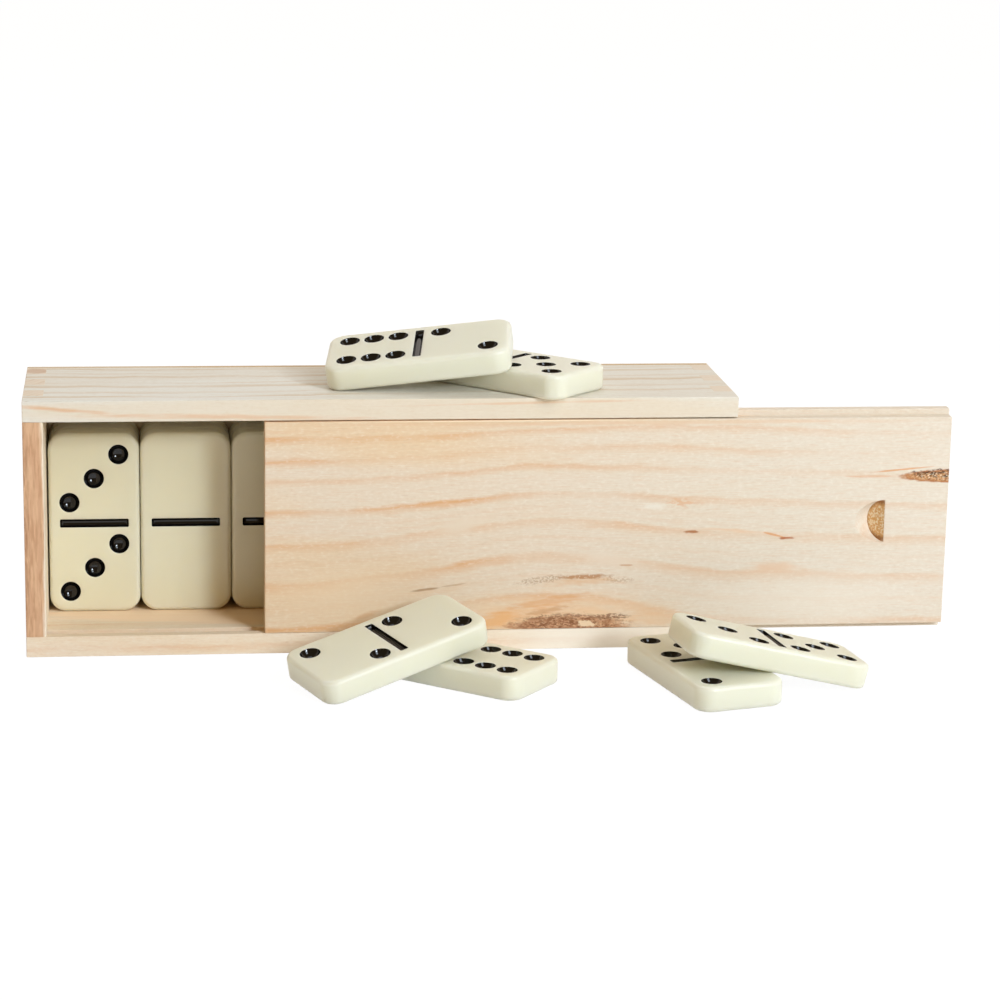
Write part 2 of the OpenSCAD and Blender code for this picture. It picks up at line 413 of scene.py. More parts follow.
def pine(name, board):
    """Raw pine, cut across its growth rings. Cream earlywood with peach latewood bands, short
    resin flecks and a dry matt fibre; darker where the fibres end."""
    material, tree = new_material(name)
    place = millimetres(tree)
    level, along, wide = ring_level(tree, place, board)
    late = latewood_share(tree, place, board, level)
    early, warm, latewood = (colour_of(board[k]) for k in ("early", "warm", "late"))
    tint = streaks(tree, place, grain_size(board, *TINT_SIZE), seed=board["seed"] + 11)
    colour = tinted(tree, early, warm, tint, low=0.36, high=0.68)
    if "edge_warm" in board:
        # Towards one edge of the board the wood is heartwood, which is warmer
        colour = tinted(tree, colour, warm, wide, *board["edge_warm"])
    if "sapwood" in board:
        # Towards one end of the board it is paler, and its latewood fades
        start, stop, share, pale = board["sapwood"]
        colour = tinted(tree, colour, colour_of(pale), along, start, stop, share)
        kept = add(
            tree,
            "MapRange",
            {
                "Value": along,
                "From Min": start,
                "From Max": stop,
                "To Min": 1.0,
                "To Max": 1 - SAPWOOD_FADE * share,
            },
            interpolation_type="SMOOTHSTEP",
        )
        late = add(tree, "Math", {0: late, 1: kept}, operation="MULTIPLY")
    colour = add(tree, "Mix", {0: late, 6: colour, 7: latewood}, out=2, data_type="RGBA")

    # Dark and pale fibres
    fibre = streaks(tree, place, grain_size(board, *FIBRE_SIZE), detail=3.0)
    colour = tinted(tree, colour, latewood, fibre, low=0.45, high=0.8, share=0.20)
    colour = tinted(tree, colour, colour_of("#FBF4E6"), fibre, low=0.45, high=0.15, share=0.25)
    # Fuzz raised by sanding, in shade and in light
    fuzz = streaks(tree, place, grain_size(board, *FUZZ_SIZE), detail=3.0, seed=13.0)
    colour = tinted(tree, colour, colour_of("#CFB595"), fuzz, low=0.5, high=0.8, share=0.22)
    colour = tinted(tree, colour, colour_of("#FCF7EC"), fuzz, low=0.5, high=0.2, share=0.26)
    # Resin canals: dark dashes
    canal = streaks(tree, place, grain_size(board, *CANAL_SIZE), detail=1.0, seed=9.0)
    colour = tinted(tree, colour, colour_of("#B98A63"), canal, low=0.74, high=0.80, share=0.25)

    # Open ends of fibres take up the light
    ends = fibre_ends(tree, board)
    plain, dark, pore = (colour_of(board[k]) for k in ("end", "end_late", "end_pore"))
    pores = streaks(tree, place, grain_size(board, *PORE_SIZE))
    end_grain = tinted(tree, plain, dark, late, low=0.0, high=0.5)
    end_grain = tinted(tree, end_grain, pore, pores, low=0.5, high=0.7, share=0.55)
    end_share = add(tree, "Math", {0: ends, 1: board["end_share"]}, operation="MULTIPLY")
    colour = add(tree, "Mix", {0: end_share, 6: colour, 7: end_grain}, out=2, data_type="RGBA")
    for mark in board["marks"]:
        colour = marked(tree, colour, place, mark, ends)

    height = add(tree, "Math", {0: late, 1: -LATEWOOD_SINK}, operation="MULTIPLY")
    height = add(tree, "Math", {0: fibre, 1: FIBRE_RISE, 2: height}, operation="MULTIPLY_ADD")
    bump = add(tree, "Bump", {"Strength": 0.35, "Distance": GRAIN_RELIEF * MM, "Height": height})
    rough = add(
        tree,
        "MapRange",
        {"Value": fibre, "From Min": 0.3, "From Max": 0.7, "To Min": 0.55, "To Max": 0.72},
    )
    finish_material(tree, Base_Color=colour, Roughness=rough, IOR=1.45, Normal=bump)
    return material


# Lengths are in mm. The grain runs along axis "grain", "wide" is the axis across it on the board's
# main face, "face" is where that face lies and "span" where its two edges are. "pith" is the log's
# middle, across the grain and behind the face.
# Each swell: (place along the grain, reach, bulge at the lower edge, bulge at the upper one).
# Each band: (place across the grain, its slow rise, its sharp fall, strength).
# "edge_warm" and "sapwood" start and end at two places and say how strong they get.
PINE = dict(
    early="#F5E6D0",
    warm="#F0DABA",
    late="#DFAA76",
    end="#DCC0A0",
    end_late="#C99F78",
    end_pore="#EBD8BC",
    end_share=0.85,
    thin=0.14,
    wander=2.2,
    ripple=2.4,
    feather=1.3,
    swells=(),
    marks=(),
    grain=0,
)

RESIN = "#DE9A5B"

# Each mark: its middle and half sizes, tilt in degrees about Y, colour and strength; how ragged
# and how soft its edge is, the size of its grit, and how sparse its speckles are
LID_MARKS = [
    # Painted shade along the gap under the upper board's lip: a warmer, darker band along the top
    # of the lid's face. Painted light in that gap: a pale warm colour on the lid's upper edge
    dict(at=(60, FRONT, 61.3), half=(120, 3, 0.9), colour="#E4B88A", strength=0.45,
         rag=0.6, soft=0.8, grit=(14, 1, 1)),
    dict(at=(30, -20, 62.2), half=(66, 6, 0.45), colour="#FFE9C8", strength=0.9,
         rag=0.3, soft=0.3, grit=(9, 1, 1)),
    # Places where a band of latewood fades out
    dict(at=(20, FRONT, 34.0), half=(9, 6, 3.0), tilt=-14, colour="#E8D6BE", strength=0.9,
         soft=0.8, grit=(5, 1, 1)),
    dict(at=(60, FRONT, 24.5), half=(14, 6, 2.6), tilt=8, colour="#E9D8C2", strength=0.8,
         soft=0.8, grit=(5, 1, 1)),
    # Painted light along the lower edge, on both sides of the knot: paler colour that lifts the
    # lid's lower part where it falls darker in shade
    dict(at=(112, FRONT, 13), half=(42, 5, 11), colour="#F3E8D6", strength=0.5,
         soft=0.9, grit=(20, 4, 4)),
    dict(at=(-8, FRONT, 15), half=(28, 5, 11), colour="#F8DFBC", strength=0.5,
         soft=0.9, grit=(20, 4, 4)),
    # Heartwood halo round the knot at the lower edge
    dict(at=(47, FRONT, 8), half=(38, 8, 10), colour="#EDC394", strength=0.75,
         rag=0.8, soft=0.9, grit=(9, 1.6, 1.6)),
    dict(at=(30, FRONT, 8.2), half=(10, 8, 3.0), tilt=-14, colour="#EBAE6C", strength=0.7,
         rag=1.2, soft=0.8, grit=(4, 0.9, 0.9)),
    dict(at=(43, FRONT, 12.8), half=(14, 8, 1.9), tilt=-9, colour="#DFA369", strength=0.6,
         rag=1.8, soft=0.8, grit=(4, 0.7, 0.7)),
    dict(at=(43, FRONT, 10.4), half=(9, 5, 1.1), tilt=-10, colour="#C98F5C", strength=0.6,
         rag=1.8, soft=0.8, grit=(2.6, 0.5, 0.5)),
    dict(at=(73, FRONT, 8), half=(12, 8, 3.0), tilt=10, colour="#E9BC8A", strength=0.4,
         rag=1.3, soft=0.8, grit=(4, 0.8, 0.8)),
    dict(at=(-5, FRONT, 9.8), half=(6, 5, 1.2), tilt=-20, colour="#D9AB7C", strength=0.6,
         rag=0.8, soft=0.8, grit=(3, 0.6, 0.6)),
    # The knot, cut through by the lid's lower edge: brown bark with darker and paler grains
    dict(at=(49, FRONT, 5.6), half=(19, 6, 3.9), colour="#C08C64", strength=0.9,
         rag=1.0, soft=0.35, grit=(2.0, 0.9, 0.9)),
    dict(at=(49, FRONT, 6.4), half=(18, 6, 3.6), colour="#9C6640", strength=0.7,
         rag=1.0, soft=0.5, grit=(4.5, 1.8, 1.8), speckle=0.47),
    dict(at=(49.5, FRONT, 6.4), half=(17, 6, 3.6), colour="#81502F", strength=0.85,
         rag=1.0, soft=0.5, grit=(1.7, 0.9, 0.9), speckle=0.49),
    dict(at=(60.5, FRONT, 8.7), half=(6, 5, 1.0), colour="#7A4B2A", strength=0.75,
         rag=1.2, soft=0.5, grit=(1.7, 0.8, 0.8), speckle=0.42),
    dict(at=(46, FRONT, 8.8), half=(10, 5, 1.2), tilt=-4, colour="#7A4B2A", strength=0.55,
         rag=1.2, soft=0.6, grit=(1.9, 0.9, 0.9), speckle=0.46),
    dict(at=(51, FRONT, 6.4), half=(15, 6, 2.6), colour="#E6BE94", strength=0.6,
         rag=1.0, soft=0.5, grit=(1.5, 0.85, 0.85), speckle=0.56),
    dict(at=(54, FRONT, 6.8), half=(2.6, 5, 1.0), colour="#F3D9B4", strength=0.9,
         rag=2.4, soft=0.5, grit=(1.4, 0.9, 0.9)),
    # Speckled streak over the knot, and its orange glow
    dict(at=(52, FRONT, 18.4), half=(14, 5, 1.4), tilt=-2, colour="#DFAF7B", strength=0.5,
         rag=1.3, soft=0.8, grit=(3.5, 0.8, 0.8)),
    dict(at=(53.5, FRONT, 19.7), half=(8, 5, 0.9), tilt=-2, colour="#B4783E", strength=0.8,
         rag=1.1, soft=0.6, grit=(1.8, 0.8, 0.8), speckle=0.34),
    dict(at=(42, FRONT, 19.0), half=(9, 5, 1.3), tilt=-8, colour="#B28D68", strength=0.6,
         rag=1.2, soft=0.6, grit=(1.1, 0.8, 0.8), speckle=0.46),
    dict(at=(62, FRONT, 18.9), half=(6, 5, 1.2), tilt=6, colour="#BC9670", strength=0.5,
         rag=1.2, soft=0.6, grit=(1.2, 0.9, 0.9), speckle=0.46),
    # Resin flecks, with the orange streaks that trail from them
    dict(at=(11, FRONT, 16.8), half=(5, 5, 0.45), tilt=-7, colour="#AC8258", strength=0.75,
         rag=0.7, soft=0.6, grit=(3, 0.5, 0.5)),
    dict(at=(18.5, FRONT, 17.9), half=(4, 5, 0.3), tilt=-8, colour="#C09A70", strength=0.5,
         rag=0.7, grit=(3, 0.5, 0.5)),
    dict(at=(107, FRONT, 29.6), half=(3.0, 5, 0.5), colour="#B4632C", strength=0.9,
         rag=1.4, soft=0.6, grit=(2.0, 0.8, 0.8)),
    dict(at=(95, FRONT, 31.6), half=(14, 5, 0.9), tilt=5, colour="#EBBA88", strength=0.5,
         rag=1.3, soft=0.9, grit=(6, 0.8, 0.8)),
    dict(at=(103.5, FRONT, 30.6), half=(3.4, 5, 0.35), tilt=14, colour=RESIN, strength=0.7,
         rag=0.7, grit=(3, 0.5, 0.5)),
    dict(at=(81.5, FRONT, 31.6), half=(2.4, 5, 0.55), colour="#AE6C38", strength=0.9,
         rag=1.3, soft=0.6, grit=(1.6, 0.8, 0.8)),
    dict(at=(64.5, FRONT, 22.7), half=(2.4, 5, 0.35), colour="#C6905F", strength=0.6,
         rag=1.2, grit=(1.6, 0.6, 0.6)),
    dict(at=(79, FRONT, 39.4), half=(6, 5, 1.9), colour="#DFA26A", strength=0.5,
         rag=1.5, soft=0.8, grit=(2.6, 1.0, 1.0), speckle=0.46),
    dict(at=(71.5, FRONT, 38.6), half=(5, 5, 1.3), colour="#F1EADC", strength=0.6,
         rag=1.0, soft=0.8, grit=(3, 1, 1)),
    dict(at=(104, FRONT, 21.6), half=(10, 5, 2.2), colour="#E6BC96", strength=0.6,
         rag=1.0, soft=0.9, grit=(5, 1, 1)),
    # Thin resin lines that lead to the pocket at the lid's end, its rim and its dark bark
    dict(at=(138, FRONT, 48.0), half=(10, 5, 0.35), tilt=-5, colour=RESIN, strength=0.75,
         rag=0.8, soft=0.6, grit=(4, 0.5, 0.5)),
    dict(at=(129, FRONT, 46.2), half=(8, 5, 0.35), colour=RESIN, strength=0.4,
         rag=0.6, grit=(4, 0.5, 0.5)),
    dict(at=(156, FRONT, 46.1), half=(20, 5, 2.1), colour="#B5713C", strength=0.95,
         rag=0.4, soft=0.2, grit=(2, 0.6, 0.6)),
    dict(at=(157, FRONT, 46.1), half=(20, 5, 1.65), colour="#D5A26C", strength=0.9,
         rag=0.5, soft=0.25, grit=(1.6, 0.8, 0.8)),
    dict(at=(156, FRONT, 46.2), half=(19, 5, 1.8), colour="#8E5528", strength=0.9,
         rag=0.8, soft=0.3, grit=(1.1, 0.7, 0.7), speckle=0.47),
    dict(at=(154, FRONT, 46.8), half=(16, 5, 1.5), colour="#4E2F17", strength=0.95,
         rag=0.9, soft=0.35, grit=(1.7, 0.9, 0.9), speckle=0.48),
    dict(at=(155, FRONT, 46.0), half=(17, 5, 1.5), colour="#F4E0C0", strength=0.85,
         rag=0.9, soft=0.35, grit=(1.3, 0.8, 0.8), speckle=0.55),
    # Half-moon wall of the thumb notch, cut across hard latewood: orange-brown end grain, with a
    # darker outer mark that leaves a dark rim, painted shade along the notch's deepest line and in
    # its corners
    dict(at=(131, -21, 34), half=(6, 6, 9), colour="#9C6432", strength=0.95,
         rag=0.2, grit=(1.2, 0.5, 1.6), on_ends=True),
    dict(at=(133.5, -21, 34), half=(4.3, 6, 5.3), colour="#DDA868", strength=0.95,
         rag=0.3, soft=0.25, grit=(1.2, 0.5, 1.6), on_ends=True),
    dict(at=(132.8, -21, 34), half=(3.8, 6, 5.0), colour="#F3E2BF", strength=0.85,
         rag=0.6, soft=0.4, grit=(1.5, 1.0, 1.2), speckle=0.48, on_ends=True),
]

PINE_LID = dict(
    PINE,
    early="#E7D6BF",
    warm="#E9CEAA",
    late="#DEA05F",
    seed=1.0,
    wide=2,
    pith=(-60, 42),
    face=FRONT,
    span=(0, HEIGHT),
    bands=[
        (6.4, 2.2, 1.2, 0.9),
        (12.2, 1.6, 1.0, 0.3),
        (18.6, 3.2, 1.2, 1.0),
        (24.0, 1.4, 1.0, 0.2),
        (29.2, 2.6, 1.0, 0.85),
        (33.8, 1.2, 1.0, 0.15),
        (38.0, 2.2, 0.8, 0.85),
        (46.0, 1.8, 1.0, 0.55),
        (51.7, 2.0, 0.9, 0.65),
        (57.5, 2.0, 0.8, 0.75),
    ],
    swells=[(40, 32, 11.0, -0.6), (82, 48, 0.6, 2.6)],
    wander=1.0,
    marks=LID_MARKS,
    edge_warm=(22, 6, 0.5),
    sapwood=(15, 110, 0.85, "#E5DBCA"),
)

PINE_LOWER = dict(
    PINE,
    seed=21.0,
    wide=1,
    pith=(-60, -30),
    face=0,
    span=(-24, 22),
    bands=[
        (-21, 1.5, 0.8, 0.5),
        (-15, 1.2, 0.8, 0.4),
        (-8, 1.4, 0.8, 0.5),
        (-1, 1.2, 0.8, 0.45),
        (6, 1.2, 0.8, 0.4),
        (13, 1.2, 0.8, 0.5),
        (19, 1.2, 0.8, 0.4),
    ],
    marks=[
        # Painted light on its inner face: a paler, warmer colour that stands in for light bounced
        # into the box
        dict(at=(0, 2, 6), half=(110, 19.5, 1.5), colour="#FFDFBA", strength=0.8,
             rag=0.3, soft=0.2, grit=(20, 2, 2)),
        # Painted light on the middle of its front edge: a pale colour over the shadow of the tiles
        # in front
        dict(at=(58, FRONT, 3), half=(42, 2.5, 9), colour="#FBF3E4", strength=0.75,
             rag=0.5, soft=0.8, grit=(20, 2, 2)),
    ],
)

PINE_UPPER = dict(
    PINE,
    early="#E9E7DD",
    warm="#E6E0D2",
    late="#D1B48D",
    thin=0.16,
    seed=33.0,
    wide=1,
    pith=(70, 20),
    face=HEIGHT,
    span=(22, -24),
    bands=[
        (18.5, -2.0, -0.9, 0.7),
        (13.0, -1.4, -0.7, 0.35),
        (8.5, -2.4, -0.9, 0.75),
        (1.5, -1.6, -0.8, 0.45),
        (-3.5, -2.6, -0.9, 0.75),
        (-11.0, -1.8, -0.8, 0.5),
        (-16.5, -2.2, -0.9, 0.8),
    ],
    swells=[(100, 90, 4.5, 4.5), (-40, 30, -1.5, -1.5)],
    wander=7.0,
    ripple=4.5,
    marks=[
        # Painted light on the lip's underside: a pale warm colour in the gap above the lid
        dict(at=(0, -20, 62.3), half=(110, 6, 0.4), colour="#FFCC94", strength=0.9,
             rag=0.2, soft=0.3, grit=(9, 1, 1)),
        # The front edge is heartwood, with three streaks of latewood
        dict(at=(0, -23.6, 65), half=(150, 1.2, 6), colour="#E9D3B2", strength=0.5,
             rag=0.3, soft=0.3, grit=(20, 2, 2)),
        dict(at=(-84, FRONT, 65.9), half=(18, 2.5, 0.8), tilt=5, colour="#E3A96F", strength=0.6,
             rag=1.2, soft=0.9, grit=(7, 0.8, 0.8)),
        dict(at=(-40, FRONT, 63.6), half=(50, 2.5, 0.9), tilt=1.0, colour="#E3AE7A", strength=0.5,
             rag=1.4, soft=0.9, grit=(9, 0.8, 0.8)),
        dict(at=(40, FRONT, 66.8), half=(40, 2.5, 0.5), tilt=-1.0, colour="#E3B384", strength=0.5,
             rag=1.4, soft=0.9, grit=(9, 0.8, 0.8)),
    ],
)

PINE_END = dict(
    PINE,
    early="#FBEFDA",
    warm="#F8E7CC",
    late="#E2B98E",
    end="#E2D3BF",
    end_late="#D8C2A8",
    end_share=0.8,
    thin=0.25,
    seed=47.0,
    grain=2,
    wide=1,
    pith=(-90, 30),
    face=CLOSED_END,
    span=(-24, 22),
    bands=[
        (-21.5, 1.0, 0.6, 0.6),
        (-18, 1.2, 0.6, 0.6),
        (-11, 1.4, 0.8, 0.5),
        (-4, 1.2, 0.8, 0.6),
        (3, 1.2, 0.8, 0.5),
        (11, 1.2, 0.8, 0.5),
        (18, 1.2, 0.8, 0.5),
    ],
    marks=[
        # The front edge is heartwood with dark and pale fibres, and so is the rear finger
        dict(at=(-100, -23.8, 34), half=(15.2, 1.4, 120), colour="#D5A67F", strength=0.95,
             rag=0.1, soft=0.05, grit=(0.6, 1, 9)),
        dict(at=(-100, -23.8, 34), half=(15.2, 1.4, 120), colour="#BD8B64", strength=0.5,
             rag=0.1, soft=0.05, grit=(0.9, 1, 9), speckle=0.50),
        dict(at=(-100, -23.8, 34), half=(15.2, 1.4, 120), colour="#EBC39A", strength=0.5,
             rag=0.1, soft=0.05, grit=(1.3, 1, 14), speckle=0.53),
        dict(at=(-92.6, -23.8, 34), half=(1.6, 1.4, 60), colour="#9A6A46", strength=0.6,
             rag=0.8, soft=0.6, grit=(0.7, 1, 6), speckle=0.44),
        dict(at=(-90.4, 17, 68), half=(4.5, 4.2, 2), colour="#C8A284", strength=0.6,
             rag=0.5, soft=0.5, grit=(1.5, 0.5, 1), on_ends=True),
    ],
)


# ---- Plywood, resin and enamel ----

# Rotary cutting draws the rings out into a long figure. Poplar's fibres are as fine as pine's
# and are drawn as coarse, and their relief is in mm
PLY_FIGURE = (70, 8, 9)
PLY_FIBRE = (8, 0.35, 0.35)
PLY_RELIEF = 0.05
# The resin's shade drifts over more than a tile's length, and tumbling wears it in patches
CLOUD_SIZE = (60, 60, 60)
WEAR_SIZE = (7, 5, 5)
# The enamel's skin has ripples about a millimetre long, and hundredths of one deep
SKIN_SIZE = (1.1, 1.1, 1.1)
SKIN_RELIEF = 0.03


def plywood():
    """Three-ply poplar panel, rotary cut and sanded: a plain wavy figure on its faces, and on
    its edges a darker core between two pale veneers."""
    material, tree = new_material("Poplar_Plywood_Sanded")
    place = millimetres(tree)
    early, late = colour_of("#EADBC0"), colour_of("#DCC39C")
    figure = streaks(tree, place, PLY_FIGURE, detail=3.0, seed=2.0)
    colour = tinted(tree, early, late, figure, low=0.42, high=0.62)
    fibre = streaks(tree, place, PLY_FIBRE, detail=3.0)
    colour = tinted(tree, colour, colour_of("#C9A87C"), fibre, low=0.5, high=0.8, share=0.3)
    # The core is the middle third of the panel, and shows on the edges alone
    facing = add(tree, "SeparateXYZ", {0: add(tree, "TexCoord", out=1)}, out=1)
    facing = add(tree, "Math", {0: facing}, operation="ABSOLUTE")
    edge = add(
        tree,
        "MapRange",
        {"Value": facing, "From Min": 0.6, "From Max": 0.3, "To Max": 0.7},
        interpolation_type="SMOOTHSTEP",
    )
    front, back = (corner.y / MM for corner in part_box("bottom_panel"))
    depth = add(tree, "SeparateXYZ", {0: place}, out=1)
    depth = add(tree, "Math", {0: depth, 1: (front + back) / 2}, operation="SUBTRACT")
    depth = add(tree, "Math", {0: depth}, operation="ABSOLUTE")
    glue_line = (back - front) / 6
    colour = tinted(
        tree,
        colour,
        colour_of("#B58F63"),
        depth,
        low=glue_line + 0.1,
        high=glue_line - 0.05,
        share=edge,
    )
    bump = add(tree, "Bump", {"Strength": 0.3, "Distance": PLY_RELIEF * MM, "Height": fibre})
    finish_material(tree, Base_Color=colour, Roughness=0.62, IOR=1.45, Normal=bump)
    return material


def ivory(name, cool, warm):
    """Ivory urea resin, moulded and tumbled smooth: milky, with a soft gloss, and a shade warmer
    or cooler from tile to tile."""
    material, tree = new_material(name)
    place = millimetres(tree)
    cloud = streaks(tree, place, CLOUD_SIZE, detail=0.0, seed=3.0)
    shades = {0: cloud, 6: colour_of(cool), 7: colour_of(warm)}
    wear = streaks(tree, place, WEAR_SIZE, detail=1.0, seed=4.0)
    rough = add(
        tree,
        "MapRange",
        {"Value": wear, "From Min": 0.2, "From Max": 0.8, "To Min": 0.28, "To Max": 0.33},
    )
    finish_material(
        tree,
        Base_Color=add(tree, "Mix", shades, out=2, data_type="RGBA"),
        Roughness=rough,
        IOR=1.5,
        Subsurface_Weight=0.85,
        Subsurface_Radius=(0.9, 0.95, 1.0),
        Subsurface_Scale=5.0 * MM,
    )
    return material


def enamel():
    """Black enamel run into the dishes and the bar: a wet-looking gloss with a faint ripple."""
    material, tree = new_material("Black_Enamel_Flowed")
    place = millimetres(tree)
    ripple = streaks(tree, place, SKIN_SIZE)
    shades = {0: ripple, 6: colour_of("#060607"), 7: colour_of("#0C0B0B")}
    rough = add(
        tree,
        "MapRange",
        {"Value": ripple, "From Min": 0.3, "From Max": 0.7, "To Min": 0.05, "To Max": 0.09},
    )
    bump = add(tree, "Bump", {"Strength": 0.10, "Distance": SKIN_RELIEF * MM, "Height": ripple})
    finish_material(
        tree,
        Base_Color=add(tree, "Mix", shades, out=2, data_type="RGBA"),
        Roughness=rough,
        IOR=1.5,
        Normal=bump,
    )
    return material


# ---- Boards and lid ----


def link(thing):
    bpy.context.scene.collection.objects.link(thing)
    return thing


def smooth_faces(bm, material=0):
    """Smooth shading and one material slot for every face."""
    for face in bm.faces:
        face.smooth = True
        face.material_index = material


def sanded(node, body, slot, material, weight_of):
    """A copy of a board with its sharp edges eased. weight_of(midpoint) says how much."""
    mesh = frame["nodes"][node].data.copy()
    mesh.materials.clear()
    mesh.materials.append(material)
    board = link(bpy.data.objects.new(node + "_sanded", mesh))
    bm = bmesh.new()
    bm.from_mesh(mesh)
    bmesh.ops.remove_doubles(bm, verts=bm.verts, dist=ONE_CORNER * MM)
    bmesh.ops.dissolve_limit(bm, angle_limit=FLAT, verts=bm.verts, edges=bm.edges)
    weight = bm.edges.layers.float.new("bevel_weight_edge")
    for edge in bm.edges:
        if edge.calc_face_angle(0) > SHARP:
            edge[weight] = weight_of((edge.verts[0].co + edge.verts[1].co) / 2)
    smooth_faces(bm)
    bm.to_mesh(mesh)
    bm.free()
    arris = board.modifiers.new("arris", "BEVEL")
    arris.limit_method = "WEIGHT"
    arris.width = FREE_ARRIS * MM
    arris.segments = ARRIS_STEPS
    shade = board.modifiers.new("flat_faces", "WEIGHTED_NORMAL")
    shade.keep_sharp = True
    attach(board, body)
    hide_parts(node)


def glued_weight(node):
    """Says for an edge of this board whether another board lies against it."""
    surfaces = []
    for other in GLUED_BOARDS:
        if other != node:
            mesh = frame["nodes"][other].data
            faces = [face.vertices for face in mesh.polygons]
            surfaces.append(BVHTree.FromPolygons([v.co for v in mesh.vertices], faces))

    def weight_of(middle):
        near = min(surface.find_nearest(middle)[3] for surface in surfaces)
        return JOINT_SHARE if near < GLUED * MM else 1.0

    return weight_of


def build_box():
    pine_end = pine("Pine_End_Board_Sawn", PINE_END)
    finishes = (
        ("pine_side", pine("Pine_Lower_Board_Planed", PINE_LOWER)),
        ("pine_side", pine("Pine_Upper_Board_Planed", PINE_UPPER)),
        ("pine_end", pine_end),
        ("pine_end", pine_end),
        ("plywood_panel", plywood()),
    )
    for node, (slot, material) in zip(GLUED_BOARDS, finishes):
        sanded(node, "box", slot, material, glued_weight(node))


def build_lid():
    wood = pine("Pine_Lid_Planed", PINE_LID)
    sanded("sliding_lid", "lid", "pine_lid", wood, lambda middle: LID_SHARE)


# ---- Tiles ----


def rounded_ring(bm, half_l, half_w, radius, height):
    """A ring of vertices round a rectangle with round corners."""
    ring = []
    for corner, (sx, sy) in enumerate(((1, 1), (-1, 1), (-1, -1), (1, -1))):
        for i in range(CORNER_STEPS + 1):
            angle = math.radians(90 * (corner + i / CORNER_STEPS))
            x = sx * (half_l - radius) + radius * math.cos(angle)
            y = sy * (half_w - radius) + radius * math.sin(angle)
            ring.append(bm.verts.new(Vector((x, y, height)) * MM))
    return ring


def join_rings(bm, low, high):
    """The wall between a ring and the one above it."""
    for i in range(len(low)):
        j = (i + 1) % len(low)
        bm.faces.new((low[i], low[j], high[j], high[i]))


def loft(bm, rings):
    """Closes a stack of rings into a solid."""
    for low, high in zip(rings, rings[1:]):
        join_rings(bm, low, high)
    bm.faces.new(list(reversed(rings[0])))
    bm.faces.new(rings[-1])


def blank_mesh(size):
    """The plain tile: a slab with round corners and rounded edges."""
    half_l, half_w, half_t = (s / 2 for s in size)
    bm = bmesh.new()
    rings = []
    for side in (-1, 1):
        steps = range(ROUNDING_STEPS + 1)
        for i in steps if side < 0 else reversed(steps):
            angle = math.radians(90 * i / ROUNDING_STEPS)
            inset = ROUNDING * (1 - math.sin(angle))
            height = side * (half_t - ROUNDING * (1 - math.cos(angle)))
            rings.append(rounded_ring(bm, half_l - inset, half_w - inset, CORNER - inset, height))
    loft(bm, rings)
    smooth_faces(bm)
    return bm


def dish_cutter(bm, x, y, face):
    """A ball-nosed cutter for a pip, open above the tile's face."""
    ball = ((PIP_D / 2) ** 2 + PIP_DEPTH**2) / (2 * PIP_DEPTH)
    middle = face + ball - PIP_DEPTH
    rim_angle = math.asin(PIP_D / 2 / ball)
    profile = []
    for k in range(DISH_STEPS, 0, -1):
        angle = rim_angle * k / DISH_STEPS
        profile.append((ball * math.sin(angle), middle - ball * math.cos(angle)))
    rim, top = profile[0]
    flare, rise = CUTTER_FLARE
    profile.insert(0, (rim + flare, top + rise))
    turns = [2 * math.pi * i / PIP_STEPS for i in range(PIP_STEPS)]
    rings = []
    for radius, height in profile:
        points = [(x + radius * math.cos(t), y + radius * math.sin(t), height) for t in turns]
        rings.append([bm.verts.new(Vector(p) * MM) for p in points])
    for high, low in zip(rings, rings[1:]):
        join_rings(bm, low, high)
    bm.faces.new(rings[0])
    bottom = bm.verts.new(Vector((x, y, middle - ball)) * MM)
    for i in range(PIP_STEPS):
        bm.faces.new((rings[-1][(i + 1) % PIP_STEPS], rings[-1][i], bottom))


def cutter_mesh(numbers, size):
    """All the dishes of a tile and the groove of its bar, with enamel, its second material."""
    length, _, thick = size
    face = thick / 2
    bm = bmesh.new()
    for number, side in zip(numbers, (-1, 1)):
        for along, across in PIPS[number]:
            dish_cutter(bm, side * length / 4 + along * PIP_PITCH, across * PIP_PITCH, face)
    bar_w, bar_l, bar_depth = BAR
    rings = []
    for share, height in BAR_BOTTOM:
        half_w = bar_w / 2 * share
        half_l = bar_l / 2 - bar_w / 2 + half_w
        radius = max(BAR_CORNER - bar_w / 2 + half_w, BAR_LEAST_CORNER)
        rings.append(rounded_ring(bm, half_w, half_l, radius, face + height * bar_depth))
    loft(bm, rings)
    smooth_faces(bm, material=1)
    bmesh.ops.recalc_face_normals(bm, faces=bm.faces)
    return bm


def mesh_from(bm, name, materials):
    mesh = bpy.data.meshes.new(name)
    bm.to_mesh(mesh)
    bm.free()
    for material in materials:
        mesh.materials.append(material)
    return mesh


def tile_axes(mesh):
    """A turn with its Z square to the tile's largest face and its Y square to its long side."""
    shares = {}
    for face in mesh.polygons:
        key = tuple(round(c, 2) for c in face.normal)
        normal, area = shares.get(key, (Vector(), 0.0))
        shares[key] = (normal + face.normal * face.area, area + face.area)
    flats = sorted(shares.values(), key=lambda share: -share[1])
    up = flats[0][0].normalized()
    across = next(n for n, _ in flats if abs(n.normalized().dot(up)) < SQUARE).normalized()
    return Matrix((across.cross(up), across, up)).transposed()


